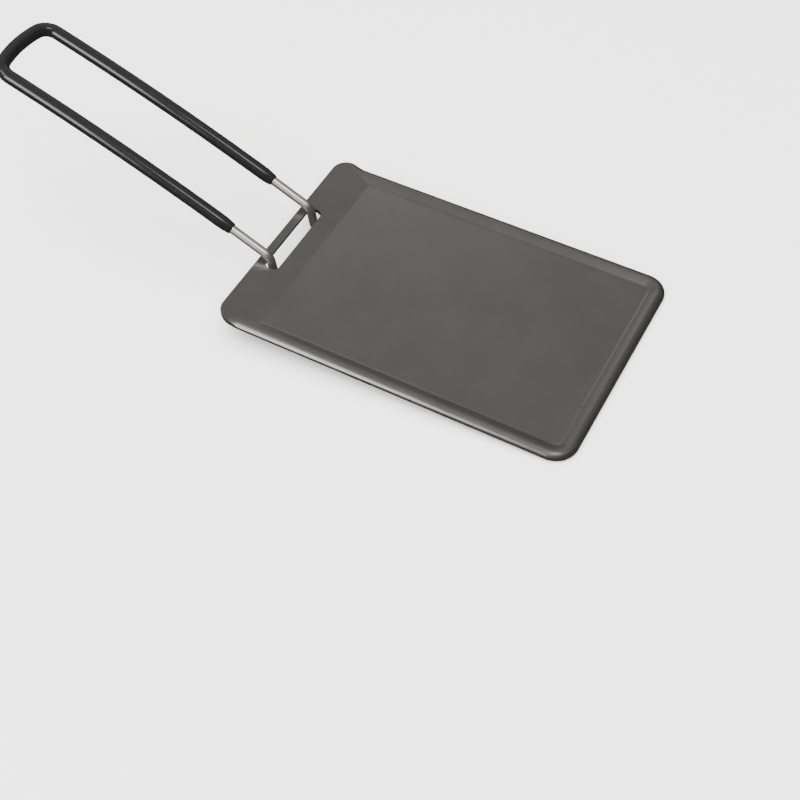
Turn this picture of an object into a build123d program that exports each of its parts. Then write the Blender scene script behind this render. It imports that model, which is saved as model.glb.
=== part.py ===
from build123d import *
from math import acos, atan, atan2, cos, degrees, hypot, radians, sin, tan
import os

# Camping grill pan: a pressed steel plate with a low rim on three sides and a hooked wire handle.
# Both legs of the handle go down through one slot in the plate's sloping tab. The tails at their feet turn
# in and press up under the plate, so the pan is carried without a rivet, a pin or a screw.
# Millimetres, +Z up. The origin is the centre of the cooking floor's top face. The handle points to -X.

# Plate
plate_length = 163.0
plate_width = 107.5
plate_thickness = 2.0
far_corner_radius = 10.0
tab_corner_radius = 7.5

# Rim on the two long sides and the far end, in section from the outer edge inwards
rim_rise = 2.0
rim_land_width = 2.8
rim_slope_width = 4.4
rim_edge_radius = 1.6
crease_radius = 3.0

# Tab at the handle end: one flat slope from the floor up to the plate's end
tab_length = 18.5
tab_rise = 3.0

# Slot in the tab, measured down its slope, and the strip that the handle hooks over
strip_width = 3.7
slot_width = 6.2
slot_length = 40.0
slot_corner_radius = 2.5

# Handle wire: radii are those of the wire's centre line, angles are in degrees
wire_diameter = 4.0
wire_bend_radius = 4.8
leg_lean_angle = 7.0
leg_length = 12.4
tail_rise_angle = 22.0
arm_spacing = 33.7
arm_rise_angle = 21.9
handle_reach = 144.5
end_corner_radius = 7.0
end_bow_angle = 12.0

# Sleeve on the outer part of the wire
grip_diameter = 6.2
grip_start = 20.1

# Clearances
hook_clearance = 0.1
tail_clearance = 0.1
grip_clearance = 0.1

# The axis that stands for the loose hook lies this far down the leg from the strip's lower edge
swing_axis_drop = 0.5

# Extra length of a solid past the face that it goes through
past = 2.0

# Places along X, from the cooking floor's middle
rim_inset = rim_land_width + rim_slope_width
floor_length = plate_length - tab_length - rim_inset
tab_start_x = -floor_length / 2
end_x = tab_start_x - tab_length
far_x = end_x + plate_length
middle_x = (end_x + far_x) / 2

# A bend keeps the sheet's thickness when its lower crease lies this much further out than the upper one
crease_shift = plate_thickness * tan(atan(rim_rise / rim_slope_width) / 2)

# The tab's top face, with X up its slope from the crease at the cooking floor
tab_angle = atan2(tab_rise, tab_length)
tab_slope = hypot(tab_rise, tab_length)
tab_uphill = (-cos(tab_angle), 0, sin(tab_angle))
tab_normal = (sin(tab_angle), 0, cos(tab_angle))
tab_plane = Plane(origin=(tab_start_x, 0, 0), x_dir=tab_uphill, z_dir=tab_normal)


def blank(top):
    """The plate's outline, upright from under the plate to a height: small corners at the tab."""
    outline = Rectangle(plate_length, plate_width)
    outline = fillet(outline.vertices().group_by(Axis.X)[0], tab_corner_radius)
    outline = fillet(outline.vertices().group_by(Axis.X)[-1], far_corner_radius)
    bottom = -plate_thickness - past
    return extrude(Pos(middle_x, 0, bottom) * outline, amount=top - bottom)


def level(inset, z):
    """A rounded rectangle at one height of the pressed form: it runs on past the tab's end."""
    start = end_x - 2 * far_corner_radius + inset
    end = far_x - inset
    shape = RectangleRounded(end - start, plate_width - 2 * inset, far_corner_radius - inset)
    return Pos((start + end) / 2, 0, z) * shape


def below_pan(drop, shift, floor_radius, crest_radius):
    """All that lies below the rim and the floor, lowered by a drop, with rounded creases."""
    top = rim_rise - drop
    form = loft([level(rim_inset - shift, -drop), level(rim_land_width - shift, top)], ruled=True)
    form = fillet(form.faces().sort_by(Axis.Z)[0].edges(), floor_radius)
    depth = rim_rise + 2 * plate_thickness + past
    block = extrude(Pos(middle_x, 0, top) * Rectangle(2 * plate_length, 2 * plate_width), amount=-depth)
    block -= form
    mouth = block.faces().sort_by(Axis.Z)[-1].inner_wires()[0]
    return fillet(mouth.edges(), crest_radius)


def below_tab(drop):
    """All that lies below the tab's slope, lowered by a drop."""
    section = Rectangle(2 * tab_slope, 2 * plate_width)
    return extrude(tab_plane.offset(-drop) * section, amount=-2 * plate_thickness - past)


def make_plate():
    """The pressed plate with its rim, tab and slot, as one sheet of steady thickness."""
    rim_blank = blank(rim_rise)
    rim_blank = fillet(rim_blank.faces().sort_by(Axis.Z)[-1].edges(), rim_edge_radius)
    plate = below_pan(0, 0, crease_radius, crease_radius) & rim_blank
    plate += below_tab(0) & blank(tab_rise + past)
    floor_radius = crease_radius + plate_thickness
    crest_radius = crease_radius - plate_thickness
    plate -= below_pan(plate_thickness, crease_shift, floor_radius, crest_radius)
    plate -= below_tab(plate_thickness)
    slot_middle = tab_slope - strip_width - slot_width / 2
    slot = Pos(slot_middle, 0) * RectangleRounded(slot_width, slot_length, slot_corner_radius)
    return plate - extrude(tab_plane * slot, amount=plate_thickness + past, both=True)


wire_radius = wire_diameter / 2
lean = radians(leg_lean_angle)
arm_rise = radians(arm_rise_angle)
tail_rise = radians(tail_rise_angle)
arm_y = arm_spacing / 2

# The plane of one side of the wire: its two directions are the pan's +X and +Z
side_plane = Plane(origin=(0, arm_y, 0), x_dir=(1, 0, 0), z_dir=(0, -1, 0))


def tab_point(depth, drop):
    """X and Z of a point under the tab's face: its distance down the slope from the end, and its drop."""
    point = tab_plane.from_local_coords((tab_slope - depth, 0, -drop))
    return point.X, point.Z


def beside_leg(origin, up, out):
    """X and Z of a point reached from another one: a way up along the leg and a way out towards the pan."""
    x, z = origin
    return x - up * sin(lean) + out * cos(lean), z + up * cos(lean) + out * sin(lean)


# The leg passes the strip's upper edge with the hook clearance, and the hook's bend begins there. The hook's
# and the foot's corner points are where the centre lines beside them cross.
leg_top = beside_leg(tab_point(strip_width, 0), 0, wire_radius + hook_clearance)
hook_turn_angle = 90 - arm_rise_angle - leg_lean_angle
hook = beside_leg(leg_top, wire_bend_radius * tan(radians(hook_turn_angle) / 2), 0)
foot = beside_leg(leg_top, -leg_length, 0)

# The upper edge of the tail's end comes up to the floor's underside.
tip_z = -plate_thickness - tail_clearance - wire_radius * cos(tail_rise)
tip = (foot[0] + (tip_z - foot[1]) / tan(tail_rise), tip_z)

# The end bar is bowed: two corner arcs and one wide arc, which meet with no kink.
bow = radians(end_bow_angle)
bar_radius = (arm_y - end_corner_radius * (1 - sin(bow))) / sin(bow)
corner_reach = end_corner_radius * cos(bow)
bar_reach = corner_reach + bar_radius * (1 - cos(bow))

# The loop's plane, with X up along the arms from the hooks' corner points
uphill = (-cos(arm_rise), 0, sin(arm_rise))
loop_plane = Plane(origin=(hook[0], 0, hook[1]), x_dir=uphill, z_dir=(sin(arm_rise), 0, cos(arm_rise)))
arm_length = handle_reach - bar_reach


def end_turn():
    """The centre line round the end of the handle, from one arm to the other."""
    bar_x = arm_length + corner_reach
    bar_y = arm_y - end_corner_radius * (1 - sin(bow))
    corner = TangentArc((arm_length, arm_y), (bar_x, bar_y), tangent=(1, 0))
    bar = ThreePointArc((bar_x, bar_y), (handle_reach, 0), (bar_x, -bar_y))
    return loop_plane * (corner + bar + mirror(corner, about=Plane.XZ))


def swept(side, section):
    """A section swept along one side's centre line, round the end and back along the other side."""
    side = side_plane * side
    path = Wire((side + end_turn() + mirror(side, about=Plane.XZ)).edges())
    return sweep(Plane(origin=path @ 0, z_dir=path % 0) * section, path=path)


def arm_point(distance):
    """X and Z of a point on an arm's centre line, at a distance from the hook's corner point."""
    return hook[0] - distance * cos(arm_rise), hook[1] + distance * sin(arm_rise)


def make_wire():
    """The bent wire: tail, foot, leg, hook and arm on each side, joined by the end bar."""
    side = FilletPolyline(tip, foot, hook, arm_point(arm_length), radius=wire_bend_radius)
    return swept(side, Circle(wire_radius))


def make_grip():
    """The sleeve: a tube over the wire's outer part, all the way round the end of the handle."""
    side = Line(arm_point(grip_start), arm_point(arm_length))
    return swept(side, Circle(grip_diameter / 2) - Circle(wire_radius + grip_clearance))


def print_swing():
    """Print the axis that the handle swings about and how far it rises before its legs meet the slot."""
    strip_x, strip_z = tab_point(strip_width, plate_thickness)
    level_up = (strip_z - leg_top[1]) * cos(lean) - (strip_x - leg_top[0]) * sin(lean)
    axis_x, axis_z = beside_leg(leg_top, level_up - swing_axis_drop, 0)
    stop_x, stop_z = tab_point(strip_width + slot_width, 0)
    stop_up = (stop_z - axis_z) * cos(lean) - (stop_x - axis_x) * sin(lean)
    stop_out = (stop_x - axis_x) * cos(lean) + (stop_z - axis_z) * sin(lean)
    rise = acos((wire_radius + hook_clearance) / hypot(stop_up, stop_out)) - atan2(stop_up, stop_out)
    print("swing axis x", round(axis_x, 3), "z", round(axis_z, 3))
    print("rises by", round(degrees(rise), 2), "degrees")


os.makedirs("parts", exist_ok=True)
export_step(make_plate(), "parts/pan_plate.step")
export_step(make_wire(), "parts/handle_wire.step")
export_step(make_grip(), "parts/grip_sleeve.step")
print_swing()
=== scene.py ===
from math import atan2, cos, radians, sin, tan

import bmesh
import bpy
import numpy as np
from mathutils import Matrix, Vector


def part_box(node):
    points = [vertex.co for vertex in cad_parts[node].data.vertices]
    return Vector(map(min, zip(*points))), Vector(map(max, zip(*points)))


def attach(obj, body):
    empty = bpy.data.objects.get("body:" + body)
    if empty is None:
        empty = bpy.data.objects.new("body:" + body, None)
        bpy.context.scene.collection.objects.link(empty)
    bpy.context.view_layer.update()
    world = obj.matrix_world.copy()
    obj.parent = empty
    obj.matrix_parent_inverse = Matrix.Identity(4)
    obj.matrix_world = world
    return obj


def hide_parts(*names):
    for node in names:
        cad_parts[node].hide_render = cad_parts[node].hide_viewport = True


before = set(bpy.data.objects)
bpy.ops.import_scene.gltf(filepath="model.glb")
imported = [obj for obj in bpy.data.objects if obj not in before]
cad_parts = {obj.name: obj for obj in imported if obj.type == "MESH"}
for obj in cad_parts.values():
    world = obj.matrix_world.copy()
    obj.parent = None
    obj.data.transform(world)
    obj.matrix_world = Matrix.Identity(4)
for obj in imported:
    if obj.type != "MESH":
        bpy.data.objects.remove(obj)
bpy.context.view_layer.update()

bl_info = {
    "name": "Camping Grill Pan",
    "version": (1, 0, 0),
    "blender": (4, 5, 0),
    "location": "View3D > Sidebar > Grill Pan",
    "description": "Dresses a pressed grill pan and its hooked wire handle, and sets the stage for them",
    "category": "Object",
}

PLATE_LOW, PLATE_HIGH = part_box("pan_plate")

# Longest steps between the rings of the wire and the sleeve, in metres along them and round their bends
LEG_STEP = 0.002
ARM_STEP = 0.003
SLEEVE_STEP = 0.0015
END_STEP = 0.002
BEND_STEP = radians(4)

# Points in a ring of the wire and of the sleeve, and rings round each cut edge
WIRE_SIDES = 32
SLEEVE_SIDES = 40
EDGE_RINGS = 6

# Cuts across the plate where its rim begins to roll, the distance within which its points are merged, and
# the distance over which the roll's slope is measured
ROLL_CUTS = 7
MERGE_DISTANCE = 1e-6
SLOPE_DISTANCE = 1e-5

# Sockets of a Mix node when it mixes colours
MIX_SHARE, MIX_FIRST, MIX_SECOND, MIX_RESULT = 0, 6, 7, 2


# Settings


class PlateSettings(bpy.types.PropertyGroup):
    """Sizes of the plate's tab and rim, and the finish of the plate."""

    thickness: bpy.props.FloatProperty(
        name="Thickness", description="Thickness of the plate", unit="LENGTH", default=0.002)
    tab_length: bpy.props.FloatProperty(
        name="Tab length", description="Length of the sloping tab", unit="LENGTH", default=0.0185)
    tab_rise: bpy.props.FloatProperty(
        name="Tab rise", description="Height of the tab's end above the cooking floor", unit="LENGTH",
        default=0.003)
    strip_width: bpy.props.FloatProperty(
        name="Strip width", description="From the tab's end to its slot", unit="LENGTH", default=0.0037)
    far_corner_radius: bpy.props.FloatProperty(
        name="Far corner radius", description="Radius of the corners at the far end", unit="LENGTH",
        default=0.01)
    rolled_width: bpy.props.FloatProperty(
        name="Rolled width", description="Width of the rim's outer part that rolls over", unit="LENGTH",
        default=0.0037)
    rolled_drop: bpy.props.FloatProperty(
        name="Rolled drop", description="How far the rim rolls down over that width", unit="LENGTH",
        default=0.001)
    roll_start: bpy.props.FloatProperty(
        name="Roll start", description="From the tab's end to where the rim begins to roll", unit="LENGTH",
        default=0.0052)
    roll_growth: bpy.props.FloatProperty(
        name="Roll growth", description="Length over which the roll reaches its full drop", unit="LENGTH",
        default=0.006)

    coating: bpy.props.FloatVectorProperty(
        name="Coating", description="Colour of the baked dark coating", subtype="COLOR",
        default=(0.136, 0.134, 0.131))
    smudge: bpy.props.FloatVectorProperty(
        name="Smudge", description="Colour where oil has dried on the coating", subtype="COLOR",
        default=(0.150, 0.146, 0.139))
    roughness: bpy.props.FloatProperty(
        name="Roughness", description="Mean roughness of the coating", min=0.0, max=1.0, default=0.33)
    sheen: bpy.props.FloatProperty(
        name="Metal share", description="How far the thin coating lets the steel shine through", min=0.0,
        max=1.0, default=0.93)
    grain: bpy.props.FloatProperty(
        name="Grain", description="Size of the coating's fine grain", unit="LENGTH", default=0.0006)


class WireSettings(bpy.types.PropertyGroup):
    """Sizes and finish of the handle wire. Radii are those of its centre line."""

    diameter: bpy.props.FloatProperty(
        name="Diameter", description="Diameter of the wire", unit="LENGTH", default=0.004)
    bend_radius: bpy.props.FloatProperty(
        name="Bend radius", description="Radius of the hook's and the feet's bends", unit="LENGTH",
        default=0.0048)
    spacing: bpy.props.FloatProperty(
        name="Arm spacing", description="Distance between the two arms", unit="LENGTH", default=0.0337)
    reach: bpy.props.FloatProperty(
        name="Reach", description="From the hook's corner to the middle of the end bar", unit="LENGTH",
        default=0.1445)
    rise: bpy.props.FloatProperty(
        name="Rise", description="Angle of the arms at the hook, above the floor of the pan", subtype="ANGLE",
        default=radians(25.3))
    arch_radius: bpy.props.FloatProperty(
        name="Arch radius", description="Radius of the wide arch of the arms", unit="LENGTH", default=1.01)
    corner_radius: bpy.props.FloatProperty(
        name="End corner radius", description="Radius of the corners at the end", unit="LENGTH",
        default=0.007)
    bow: bpy.props.FloatProperty(
        name="End bow", description="Half the turn of the bowed end bar", subtype="ANGLE",
        default=radians(12))
    lean: bpy.props.FloatProperty(
        name="Leg lean", description="Angle of the legs from upright", subtype="ANGLE", default=radians(7))
    leg_length: bpy.props.FloatProperty(
        name="Leg length", description="From the hook's bend to the foot's corner", unit="LENGTH",
        default=0.0124)
    tail_rise: bpy.props.FloatProperty(
        name="Tail rise", description="Angle of the tails under the plate", subtype="ANGLE",
        default=radians(22))
    clearance: bpy.props.FloatProperty(
        name="Clearance", description="Space between the wire and the plate", unit="LENGTH", default=0.0001)
    cut_radius: bpy.props.FloatProperty(
        name="Cut edge", description="Rounding of the wire's cut ends", unit="LENGTH", default=0.0004)
    steel: bpy.props.FloatVectorProperty(
        name="Steel", description="Colour of the bright drawn steel", subtype="COLOR",
        default=(0.88, 0.85, 0.79))


class GripSettings(bpy.types.PropertyGroup):
    """Sizes and finish of the sleeve on the handle."""

    diameter: bpy.props.FloatProperty(
        name="Diameter", description="Outer diameter of the sleeve", unit="LENGTH", default=0.0062)
    start: bpy.props.FloatProperty(
        name="Start", description="From the hook's corner to the sleeve's end", unit="LENGTH", default=0.0201)
    end_radius: bpy.props.FloatProperty(
        name="End radius", description="Rounding of the sleeve's cut ends", unit="LENGTH", default=0.0003)
    taper_length: bpy.props.FloatProperty(
        name="Taper length", description="How far from its ends the sleeve narrows", unit="LENGTH",
        default=0.007)
    taper_depth: bpy.props.FloatProperty(
        name="Taper depth", description="How much the sleeve's radius narrows", unit="LENGTH", default=0.0006)
    clearance: bpy.props.FloatProperty(
        name="Clearance", description="Space between the sleeve and the wire", unit="LENGTH", default=0.0001)
    rubber: bpy.props.FloatVectorProperty(
        name="Rubber", description="Colour of the glossy sleeve", subtype="COLOR",
        default=(0.0075, 0.0075, 0.008))


class StageSettings(bpy.types.PropertyGroup):
    """Camera and floor. The pan stands on its far edge and the wire's feet, so the floor is tilted."""

    camera_place: bpy.props.FloatVectorProperty(
        name="Camera", description="Place of the camera", subtype="TRANSLATION",
        default=(0.16635, -0.33903, 0.43002))
    camera_aim: bpy.props.FloatVectorProperty(
        name="Aim", description="Direction that the camera looks in", subtype="DIRECTION",
        default=(-0.30225, 0.52492, -0.79568))
    camera_up: bpy.props.FloatVectorProperty(
        name="Up", description="Upward direction of the picture", subtype="DIRECTION",
        default=(-0.37122, 0.70400, 0.60546))
    focal_share: bpy.props.FloatProperty(
        name="Focal share", description="Focal length as a share of the picture's width", default=1.685)
    tilt: bpy.props.FloatProperty(
        name="Resting tilt", description="Tilt of the pan as it stands on its far edge and the wire's feet",
        subtype="ANGLE", default=radians(3.042))
    far_contact: bpy.props.FloatProperty(
        name="Far contact", description="Where along X the plate's underside touches the floor",
        unit="LENGTH", default=0.06834)
    floor_color: bpy.props.FloatVectorProperty(
        name="Floor", description="Colour of the plain floor", subtype="COLOR", default=(0.90, 0.90, 0.89))


def settings(name):
    """The settings kept on the scene under a name."""
    return getattr(bpy.context.scene, "grill_pan_" + name)


# Meshes


def smooth_object(name, mesh):
    """A mesh as a smooth object of the scene."""
    mesh.polygons.foreach_set("use_smooth", np.ones(len(mesh.polygons), dtype=bool))
    mesh.update()
    piece = bpy.data.objects.new(name, mesh)
    bpy.context.collection.objects.link(piece)
    return piece


def grid_object(name, points, close_rings, poles=None):
    """A mesh object from a grid of points [ring, side]: sides always close, rings close on request.

    Where the rings stay open, each end is closed by a fan of triangles to its pole.
    """
    rings, sides = points.shape[:2]
    index = np.arange(rings * sides).reshape(rings, sides)
    after = np.roll(index, -1, axis=0) if close_rings else index[1:]
    here = index if close_rings else index[:-1]
    corners = [here, np.roll(here, -1, axis=1), np.roll(after, -1, axis=1), after]
    faces = np.stack(corners, axis=-1).reshape(-1, 4).tolist()
    vertices = points.reshape(-1, 3)
    if poles is not None:
        first, last = rings * sides, rings * sides + 1
        vertices = np.vstack([vertices, poles])
        start, end = index[0], index[-1]
        faces += np.stack([np.full(sides, first), np.roll(start, -1), start], axis=-1).tolist()
        faces += np.stack([np.full(sides, last), end, np.roll(end, -1)], axis=-1).tolist()
    mesh = bpy.data.meshes.new(name)
    mesh.from_pydata(vertices.tolist(), [], faces)
    return smooth_object(name, mesh)


def read_rows(data, name, width, kind=np.float32):
    """One property of all the parts of a mesh, a row for each part."""
    values = np.empty(len(data) * width, dtype=kind)
    data.foreach_get(name, values)
    return values.reshape(-1, width)


# The wire and the sleeve


def chain_points(start, heading, runs, step):
    """Points along a chain of straight runs and arcs that meet with no kink, and the heading at each of them.

    Each run has a length and a turn. At a distance s along it the heading is h + turn s / length, and the
    point is the integral of that heading's cosine and sine: over an arc of radius R = length / turn it is
    R (sin(h + a) - sin(h)) along and R (cos(h) - cos(h + a)) across, where a is the angle turned so far.
    """
    place = np.array(start, dtype=float)
    places, headings = [], []
    for length, turn in runs:
        count = max(2, int(np.ceil(max(length / step, abs(turn) / BEND_STEP))))
        share = np.linspace(0, 1, count + 1)
        angle = heading + turn * share
        if turn:
            radius = length / turn
            offset = radius * np.stack([np.sin(angle) - sin(heading), cos(heading) - np.cos(angle)], axis=1)
        else:
            offset = length * share[:, None] * np.array([cos(heading), sin(heading)])
        places.append(place + offset[:-1])
        headings.append(angle[:-1])
        place = place + offset[-1]
        heading = heading + turn
    return np.vstack(places + [place[None]]), np.concatenate(headings + [np.array([heading])])


class Handle:
    """The centre line of the wire, worked out from the tab's slot.

    Each side lies in an upright plane, from the tail's tip to the arm's end. The end turn lies in the plane
    of the arms' ends: a corner arc and half the bowed bar on each side.
    """

    def __init__(self):
        plate, wire = settings("plate"), settings("wire")
        self.wire = wire
        self.arm_y = wire.spacing / 2
        tab = atan2(plate.tab_rise, plate.tab_length)
        edge_x = PLATE_LOW[0] + plate.strip_width * cos(tab)
        edge = np.array([edge_x, plate.tab_rise - plate.strip_width * sin(tab)])
        up = np.array([-sin(wire.lean), cos(wire.lean)])
        out = np.array([cos(wire.lean), sin(wire.lean)])
        leg_top = edge + out * (wire.diameter / 2 + wire.clearance)
        foot = leg_top - up * wire.leg_length
        tip_z = wire.cut_radius * sin(wire.tail_rise) - plate.thickness - wire.clearance \
            - wire.diameter / 2 * cos(wire.tail_rise)
        tail = (tip_z - foot[1]) / sin(wire.tail_rise)
        foot_turn = radians(90) + wire.tail_rise - wire.lean
        foot_tangent = wire.bend_radius * tan(foot_turn / 2)
        hook_turn = radians(90) - wire.rise - wire.lean
        self.hook_tangent = wire.bend_radius * tan(hook_turn / 2)
        self.bar_radius = (self.arm_y - wire.corner_radius * (1 - sin(wire.bow))) / sin(wire.bow)
        bar_reach = wire.corner_radius * cos(wire.bow) + self.bar_radius * (1 - cos(wire.bow))
        self.arm_length = wire.reach - bar_reach - self.hook_tangent
        self.tip = foot + np.array([cos(wire.tail_rise), sin(wire.tail_rise)]) * tail
        self.tip_heading = radians(180) + wire.tail_rise
        self.runs = [
            (tail - foot_tangent, 0),
            (wire.bend_radius * foot_turn, -foot_turn),
            (wire.leg_length - foot_tangent, 0),
            (wire.bend_radius * hook_turn, hook_turn),
        ]

    def side(self, start):
        """One side's centre line in its upright plane, whole or from a distance along the arm onwards."""
        arch_radius = self.wire.arch_radius
        line, headings = chain_points(self.tip, self.tip_heading, self.runs, LEG_STEP)
        if start is None:
            arm = (self.arm_length, self.arm_length / arch_radius)
            arch, arch_headings = chain_points(line[-1], headings[-1], [arm], ARM_STEP)
            return np.vstack([line[:-1], arch]), np.concatenate([headings[:-1], arch_headings])
        bare = start - self.hook_tangent
        covered = self.arm_length - bare
        line, headings = chain_points(line[-1], headings[-1], [(bare, bare / arch_radius)], ARM_STEP)
        return chain_points(line[-1], headings[-1], [(covered, covered / arch_radius)], SLEEVE_STEP)

    def line(self, start=None):
        """The whole centre line, with two directions square to it at each point.

        The first points out of the loop, and the second is the tangent x the first.
        """
        wire = self.wire
        plane, headings = self.side(start)
        zeros = np.zeros(len(plane))
        side = np.stack([plane[:, 0], zeros + self.arm_y, plane[:, 1]], axis=1)
        side_first = np.tile([0.0, 1.0, 0.0], (len(plane), 1))
        side_second = np.stack([-np.sin(headings), zeros, np.cos(headings)], axis=1)
        turn = radians(90) - wire.bow
        runs = [(wire.corner_radius * turn, -turn), (self.bar_radius * wire.bow, -wire.bow)]
        end, end_headings = chain_points((0, self.arm_y), 0, runs, END_STEP)
        along = np.array([cos(headings[-1]), 0, sin(headings[-1])])
        across = np.array([0.0, 1.0, 0.0])
        origin = np.array([plane[-1, 0], 0, plane[-1, 1]])
        turned = origin + along * end[:, :1] + across * end[:, 1:]
        turned_first = -along * np.sin(end_headings)[:, None] + across * np.cos(end_headings)[:, None]
        turned_second = np.tile(side_second[-1], (len(end), 1))
        pairs = ((side, turned), (side_first, turned_first), (side_second, turned_second))
        half = [np.vstack([straight, bent[1:]]) for straight, bent in pairs]
        mirror = np.array([1.0, -1.0, 1.0])
        return [np.vstack([part, part[-2::-1] * mirror]) for part in half]


def tapered(line, radius, depth, length):
    """A tube's radius along its centre line: r - d (1 - s / L)^2 at a distance s under L from either end."""
    run = np.concatenate([[0], np.cumsum(np.linalg.norm(np.diff(line, axis=0), axis=1))])
    from_end = np.minimum(run, run[-1] - run)
    return radius - depth * (1 - np.minimum(from_end / length, 1)) ** 2


def end_rings(line, first, second, radius, rounding):
    """A tube's rings with a rounded edge at both ends, for a centre line and its two square directions.

    Ring k stands e (1 - cos(a)) inside the end and has the radius r - e + e sin(a), for a from 0 to 90
    degrees. The tube's radius r is given at each point of the line.
    """
    angle = np.linspace(0, np.pi / 2, EDGE_RINGS)
    inside = rounding * (1 - np.cos(angle))[:, None]
    start = line[0] + (line[1] - line[0]) / np.linalg.norm(line[1] - line[0]) * inside
    end = line[-1] + (line[-2] - line[-1]) / np.linalg.norm(line[-2] - line[-1]) * inside
    rounded = rounding * (np.sin(angle) - 1)
    keep = slice(1, -1)
    centres = np.vstack([start, line[keep], end[::-1]])
    sizes = np.concatenate([radius[0] + rounded, radius[keep], (radius[-1] + rounded)[::-1]])
    spread = [np.vstack([np.repeat(part[:1], EDGE_RINGS, 0), part[keep], np.repeat(part[-1:], EDGE_RINGS, 0)])
              for part in (first, second)]
    return centres, spread[0], spread[1], sizes


def ring_points(centres, first, second, radii, sides):
    """Circles about the centres: centre + r (first cos(a) + second sin(a))."""
    angle = np.linspace(0, 2 * np.pi, sides, endpoint=False)
    circle = first[:, None] * np.cos(angle)[None, :, None] + second[:, None] * np.sin(angle)[None, :, None]
    return centres[:, None] + radii[:, None, None] * circle


def wire_points(handle):
    """The wire's rings along its centre line, with the middles of its two flat cut ends."""
    line, first, second = handle.line()
    radius = np.full(len(line), handle.wire.diameter / 2)
    rings = end_rings(line, first, second, radius, handle.wire.cut_radius)
    return ring_points(*rings, WIRE_SIDES), np.array([line[0], line[-1]])


def grip_points(handle, grip):
    """The sleeve's skin: out along its outer face, round its rounded end and back along its bore."""
    line, first, second = handle.line(grip.start)
    radius = tapered(line, grip.diameter / 2, grip.taper_depth, grip.taper_length)
    outer = end_rings(line, first, second, radius, grip.end_radius)
    bore = np.full(len(line), handle.wire.diameter / 2 + grip.clearance)
    inner = (line[::-1], first[::-1], second[::-1], bore)
    rings = [np.concatenate(parts) for parts in zip(outer, inner)]
    return ring_points(*rings, SLEEVE_SIDES)


# The plate


def smooth_step(share):
    """3 a^2 - 2 a^3, for a share a held between 0 and 1."""
    share = np.clip(share, 0, 1)
    return share ** 2 * (3 - 2 * share)


def roll(points, plate):
    """How far points of the plate come down so that its rim rolls over.

    A point d inside the outline comes down by h (1 - S(d / w)) S((x - t) / l): h is the drop, w the rolled
    width, t a place on the tab, l the length over which the roll begins there, and S the smooth step. With
    half width b, far end f and corner radius r, d is r - |(max(|y| - b + r, 0), max(x - f + r, 0))|.
    """
    radius = plate.far_corner_radius
    past = np.stack([np.abs(points[:, 1]) - PLATE_HIGH[1], points[:, 0] - PLATE_HIGH[0]], axis=1) + radius
    inside = radius - np.linalg.norm(np.maximum(past, 0), axis=1)
    begun = smooth_step((points[:, 0] - PLATE_LOW[0] - plate.roll_start) / plate.roll_growth)
    return plate.rolled_drop * (1 - smooth_step(inside / plate.rolled_width)) * begun


def cut_plate(plate):
    """A merged copy of the pressed plate's mesh, and the normals of its faces' corners.

    It is cut across where the roll begins, so that the rim has points to move there.
    """
    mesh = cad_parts["pan_plate"].data.copy()
    kept = mesh.attributes.new("cad_normal", "FLOAT_VECTOR", "CORNER")
    kept.data.foreach_set("vector", read_rows(mesh.corner_normals, "vector", 3).ravel())
    custom = mesh.attributes.get("custom_normal")
    if custom:
        mesh.attributes.remove(custom)
    shape = bmesh.new()
    shape.from_mesh(mesh)
    bmesh.ops.remove_doubles(shape, verts=shape.verts, dist=MERGE_DISTANCE)
    for cut in PLATE_LOW[0] + plate.roll_start + plate.roll_growth * np.linspace(0, 1, ROLL_CUTS):
        geometry = shape.verts[:] + shape.edges[:] + shape.faces[:]
        bmesh.ops.bisect_plane(
            shape, geom=geometry, dist=MERGE_DISTANCE, plane_co=(cut, 0, 0), plane_no=(1, 0, 0))
    bmesh.ops.remove_doubles(shape, verts=shape.verts, dist=2 * MERGE_DISTANCE)
    bmesh.ops.triangulate(shape, faces=shape.faces)
    shape.to_mesh(mesh)
    shape.free()
    normals = read_rows(mesh.attributes["cad_normal"].data, "vector", 3).astype(float)
    mesh.attributes.remove(mesh.attributes["cad_normal"])
    return mesh, normals


def rolled_plate(plate):
    """The pressed plate with its rim rolled down by the roll g of its points.

    A normal (a, b, c) becomes (a + c dg/dx, b + c dg/dy, c), brought back to the length 1.
    """
    mesh, normals = cut_plate(plate)
    points = read_rows(mesh.vertices, "co", 3).astype(float)
    corners = read_rows(mesh.loops, "vertex_index", 1, np.int32)[:, 0]
    for axis in (0, 1):
        shift = SLOPE_DISTANCE * np.eye(3)[axis]
        slope = (roll(points + shift, plate) - roll(points - shift, plate)) / (2 * SLOPE_DISTANCE)
        normals[:, axis] += normals[:, 2] * slope[corners]
    normals /= np.linalg.norm(normals, axis=1, keepdims=True)
    points[:, 2] -= roll(points, plate)
    mesh.vertices.foreach_set("co", points.ravel())
    piece = smooth_object("rolled_plate", mesh)
    mesh.normals_split_custom_set(normals.tolist())
    return piece


# Materials


def new_material(name):
    """A material with an empty Principled shader, and that shader."""
    material = bpy.data.materials.new(name)
    material.use_nodes = True
    return material, material.node_tree.nodes["Principled BSDF"]


def add_node(tree, kind, **values):
    """A node of a kind, with its own properties and its unlinked inputs set by name."""
    node = tree.nodes.new(kind)
    for name, value in values.items():
        if hasattr(node, name):
            setattr(node, name, value)
        else:
            node.inputs[name.replace("_", " ")].default_value = value
    return node


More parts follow.
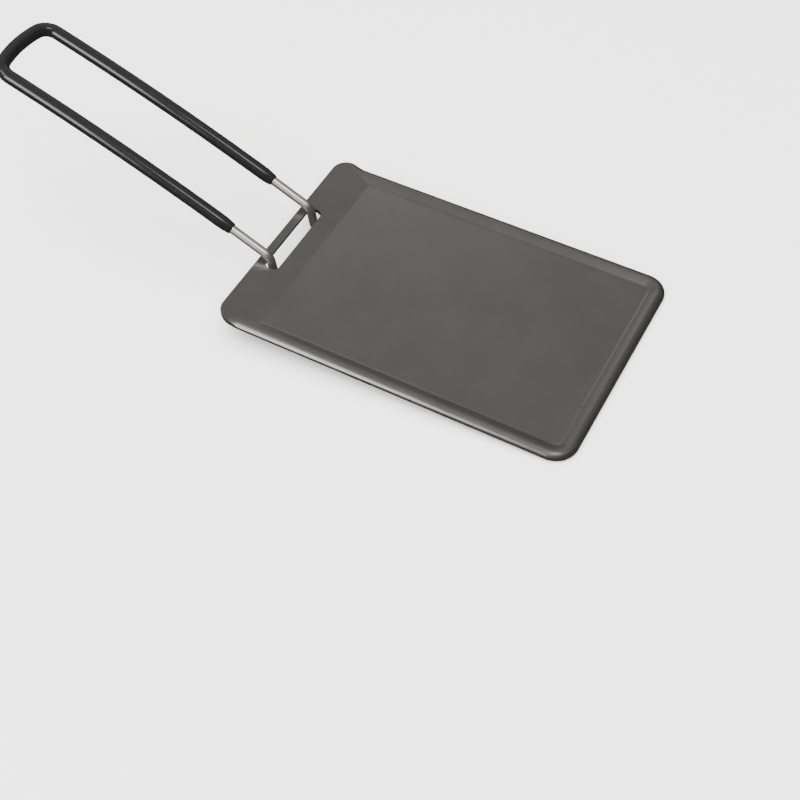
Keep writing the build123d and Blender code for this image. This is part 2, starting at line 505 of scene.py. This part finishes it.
def fine_grain_group():
    """A group that gives a fine grain and broad blotches, both from 0 to 1, from a position."""
    tree = bpy.data.node_groups.get("fine grain")
    if tree:
        return tree
    tree = bpy.data.node_groups.new("fine grain", "ShaderNodeTree")
    for name, value in (("Grain Scale", 1500.0), ("Blotch Scale", 30.0)):
        socket = tree.interface.new_socket(name, in_out="INPUT", socket_type="NodeSocketFloat")
        socket.default_value = value
    tree.interface.new_socket("Position", in_out="INPUT", socket_type="NodeSocketVector")
    source = tree.nodes.new("NodeGroupInput")
    result = tree.nodes.new("NodeGroupOutput")
    for name, detail, roughness in (("Grain", 4.0, 0.6), ("Blotch", 3.0, 0.55)):
        tree.interface.new_socket(name, in_out="OUTPUT", socket_type="NodeSocketFloat")
        noise = add_node(tree, "ShaderNodeTexNoise", Detail=detail, Roughness=roughness)
        tree.links.new(source.outputs["Position"], noise.inputs["Vector"])
        tree.links.new(source.outputs[name + " Scale"], noise.inputs["Scale"])
        tree.links.new(noise.outputs["Fac"], result.inputs[name])
    return tree


def map_range(tree, socket, low, high, from_low=0.3, from_high=0.7):
    """A value spread from one range to another and held inside it. The first is a noise's usual range."""
    node = add_node(
        tree, "ShaderNodeMapRange", From_Min=from_low, From_Max=from_high, To_Min=low, To_Max=high)
    tree.links.new(socket, node.inputs["Value"])
    return node.outputs["Result"]


def mix_colors(tree, share, first, second):
    """A colour between two others by a share. Each of the two is a socket or three values."""
    node = add_node(tree, "ShaderNodeMix", data_type="RGBA")
    tree.links.new(share, node.inputs[MIX_SHARE])
    for place, color in ((MIX_FIRST, first), (MIX_SECOND, second)):
        if isinstance(color, bpy.types.NodeSocket):
            tree.links.new(color, node.inputs[place])
        else:
            node.inputs[place].default_value = (*color, 1)
    return node.outputs[MIX_RESULT]


def add_grain(tree, shader, grain_scale, blotch_scale, smooth, rough, strength, depth):
    """Blotches that spread the roughness from smooth to rough, and a fine grain that bumps the normal.

    Scales are in waves per metre, and the depth is in metres. Gives the blotches' socket, from 0 to 1.
    """
    group = add_node(tree, "ShaderNodeGroup", node_tree=fine_grain_group())
    group.inputs["Grain Scale"].default_value = grain_scale
    group.inputs["Blotch Scale"].default_value = blotch_scale
    coordinates = tree.nodes.new("ShaderNodeTexCoord")
    tree.links.new(coordinates.outputs["Object"], group.inputs["Position"])
    blotches = group.outputs["Blotch"]
    tree.links.new(map_range(tree, blotches, smooth, rough), shader.inputs["Roughness"])
    bump = add_node(tree, "ShaderNodeBump", Strength=strength, Distance=depth)
    tree.links.new(group.outputs["Grain"], bump.inputs["Height"])
    tree.links.new(bump.outputs["Normal"], shader.inputs["Normal"])
    return blotches


def plate_material():
    """The plate's baked dark coating: satin, with a fine grain and faint dried smudges."""
    plate = settings("plate")
    material, shader = new_material("baked coating")
    tree = material.node_tree
    blotches = add_grain(
        tree, shader, grain_scale=1 / plate.grain, blotch_scale=38.0,
        smooth=plate.roughness - 0.02, rough=plate.roughness + 0.03, strength=0.25, depth=0.00006)
    color = mix_colors(tree, map_range(tree, blotches, 0, 1), plate.coating, plate.smudge)
    tree.links.new(color, shader.inputs["Base Color"])
    shader.inputs["Metallic"].default_value = plate.sheen
    return material


def wire_material():
    """Bright drawn steel wire with faint draw marks."""
    material, shader = new_material("drawn steel wire")
    add_grain(
        material.node_tree, shader, grain_scale=900.0, blotch_scale=120.0,
        smooth=0.29, rough=0.37, strength=0.12, depth=0.00004)
    shader.inputs["Base Color"].default_value = (*settings("wire").steel, 1)
    shader.inputs["Metallic"].default_value = 1.0
    return material


def grip_material():
    """The glossy black sleeve."""
    material, shader = new_material("glossy sleeve")
    add_grain(
        material.node_tree, shader, grain_scale=500.0, blotch_scale=70.0,
        smooth=0.14, rough=0.22, strength=0.1, depth=0.00005)
    shader.inputs["Base Color"].default_value = (*settings("grip").rubber, 1)
    shader.inputs["Specular IOR Level"].default_value = 0.36
    return material


def dress(piece, material):
    """Give a piece its only material."""
    piece.data.materials.clear()
    piece.data.materials.append(material)


# Stage


def add_camera(context, stage):
    """The camera stands at its place and looks along its aim, with the given direction upwards."""
    data = bpy.data.cameras.new("photo camera")
    data.sensor_fit = "HORIZONTAL"
    data.lens = data.sensor_width * stage.focal_share
    data.clip_start = 0.01
    camera = bpy.data.objects.new("photo camera", data)
    aim = Vector(stage.camera_aim).normalized()
    right = aim.cross(Vector(stage.camera_up)).normalized()
    up = right.cross(aim)
    rotation = Matrix((right, up, -aim)).transposed()
    camera.matrix_world = Matrix.Translation(Vector(stage.camera_place)) @ rotation.to_4x4()
    context.collection.objects.link(camera)
    context.scene.camera = camera


def add_floor(context, stage):
    """A wide plain floor under the wire's feet and the plate's far edge, just clear of them."""
    half = 3.0
    gap = 0.00005
    corners = np.array([(-half, -half, 0), (half, -half, 0), (half, half, 0), (-half, half, 0)])
    corners[:, 2] = PLATE_LOW[2] + (corners[:, 0] - stage.far_contact) * tan(stage.tilt) - gap
    mesh = bpy.data.meshes.new("floor")
    mesh.from_pydata(corners.tolist(), [], [(0, 1, 2, 3)])
    material, shader = new_material("plain floor")
    shader.inputs["Base Color"].default_value = (*stage.floor_color, 1)
    shader.inputs["Roughness"].default_value = 0.6
    mesh.materials.append(material)
    floor = bpy.data.objects.new("floor", mesh)
    floor.visible_glossy = False
    context.collection.objects.link(floor)


def add_lights(context):
    """Soft rectangular lights round the pan, turned to it. The camera sees none of them."""
    # Name, place and size in metres, power in watts, and whether glossy surfaces mirror it
    lights = (
        ("ceiling panel", (0.0, 0.0, 4.0), (8.0, 8.0), 1150.0, False),
        ("overhead", (0.185, -0.24, 1.05), (0.28, 0.28), 2.5, True),
        ("high window", (-0.65, -0.5, 0.75), (0.35, 0.35), 2.6, True),
        ("near window", (-0.43, -0.84, 0.46), (0.28, 0.6), 7.5, True),
        ("back window", (-0.45, 0.80, 0.62), (0.5, 0.2), 0.4, True),
    )
    for name, place, size, power, mirrored in lights:
        data = bpy.data.lights.new(name, "AREA")
        data.shape = "RECTANGLE"
        data.size, data.size_y = size
        data.energy = power
        lamp = bpy.data.objects.new(name, data)
        lamp.location = place
        lamp.rotation_euler = (-Vector(place)).to_track_quat("-Z", "Y").to_euler()
        lamp.visible_glossy = mirrored
        lamp.visible_camera = False
        context.collection.objects.link(lamp)


def add_surround(context):
    """A surround that is paler above and towards the handle, and near white where the camera sees it."""
    pale_side = (-0.7, 0.0, 1.0)
    dim, pale = (0.075, 0.075, 0.075), (0.44, 0.44, 0.44)
    backdrop = (2.7, 2.7, 2.67)
    world = bpy.data.worlds.new("pale studio")
    world.use_nodes = True
    tree = world.node_tree
    direction = tree.nodes.new("ShaderNodeTexCoord")
    slant = add_node(tree, "ShaderNodeVectorMath", operation="DOT_PRODUCT")
    slant.inputs[1].default_value = pale_side
    tree.links.new(direction.outputs["Generated"], slant.inputs[0])
    share = map_range(tree, slant.outputs["Value"], 0, 1, from_low=0.1, from_high=0.9)
    around = mix_colors(tree, share, dim, pale)
    path = tree.nodes.new("ShaderNodeLightPath")
    seen = mix_colors(tree, path.outputs["Is Camera Ray"], around, backdrop)
    tree.links.new(seen, tree.nodes["Background"].inputs["Color"])
    context.scene.world = world


# Operators and panel


class GRILLPAN_OT_plate(bpy.types.Operator):
    """Roll the pressed plate's rim and give the plate its baked coating"""

    bl_idname = "grillpan.plate"
    bl_label = "Plate"

    def execute(self, context):
        piece = rolled_plate(settings("plate"))
        dress(piece, plate_material())
        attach(piece, "pan")
        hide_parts("pan_plate")
        return {"FINISHED"}


class GRILLPAN_OT_wire(bpy.types.Operator):
    """Bend the handle wire with its hooks, feet and tails"""

    bl_idname = "grillpan.wire"
    bl_label = "Handle Wire"

    def execute(self, context):
        points, poles = wire_points(Handle())
        piece = grid_object("bent_wire", points, False, poles)
        dress(piece, wire_material())
        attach(piece, "handle")
        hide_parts("handle_wire")
        return {"FINISHED"}


class GRILLPAN_OT_grip(bpy.types.Operator):
    """Slide the black sleeve on the outer part of the wire"""

    bl_idname = "grillpan.grip"
    bl_label = "Grip Sleeve"

    def execute(self, context):
        piece = grid_object("sleeve_skin", grip_points(Handle(), settings("grip")), True)
        dress(piece, grip_material())
        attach(piece, "handle")
        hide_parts("grip_sleeve")
        return {"FINISHED"}


class GRILLPAN_OT_stage(bpy.types.Operator):
    """Set the camera, the floor and the studio light"""

    bl_idname = "grillpan.stage"
    bl_label = "Stage"

    def execute(self, context):
        stage = settings("stage")
        add_camera(context, stage)
        add_floor(context, stage)
        add_lights(context)
        add_surround(context)
        return {"FINISHED"}


class GRILLPAN_PT_panel(bpy.types.Panel):
    """Buttons for the pan's pieces and its stage"""

    bl_idname = "GRILLPAN_PT_panel"
    bl_label = "Grill Pan"
    bl_space_type = "VIEW_3D"
    bl_region_type = "UI"
    bl_category = "Grill Pan"

    def draw(self, context):
        column = self.layout.column(align=True)
        for operator in OPERATORS:
            column.operator(operator.bl_idname)


SETTINGS = {"plate": PlateSettings, "wire": WireSettings, "grip": GripSettings, "stage": StageSettings}
OPERATORS = (GRILLPAN_OT_plate, GRILLPAN_OT_wire, GRILLPAN_OT_grip, GRILLPAN_OT_stage)


def register():
    for name, group in SETTINGS.items():
        bpy.utils.register_class(group)
        setattr(bpy.types.Scene, "grill_pan_" + name, bpy.props.PointerProperty(type=group))
    for operator in OPERATORS:
        bpy.utils.register_class(operator)
    bpy.utils.register_class(GRILLPAN_PT_panel)


def unregister():
    bpy.utils.unregister_class(GRILLPAN_PT_panel)
    for operator in reversed(OPERATORS):
        bpy.utils.unregister_class(operator)
    for name, group in SETTINGS.items():
        delattr(bpy.types.Scene, "grill_pan_" + name)
        bpy.utils.unregister_class(group)


def main():
    """Make every piece and the stage."""
    register()
    bpy.ops.grillpan.plate()
    bpy.ops.grillpan.wire()
    bpy.ops.grillpan.grip()
    bpy.ops.grillpan.stage()


if __name__ == "__main__":
    main()
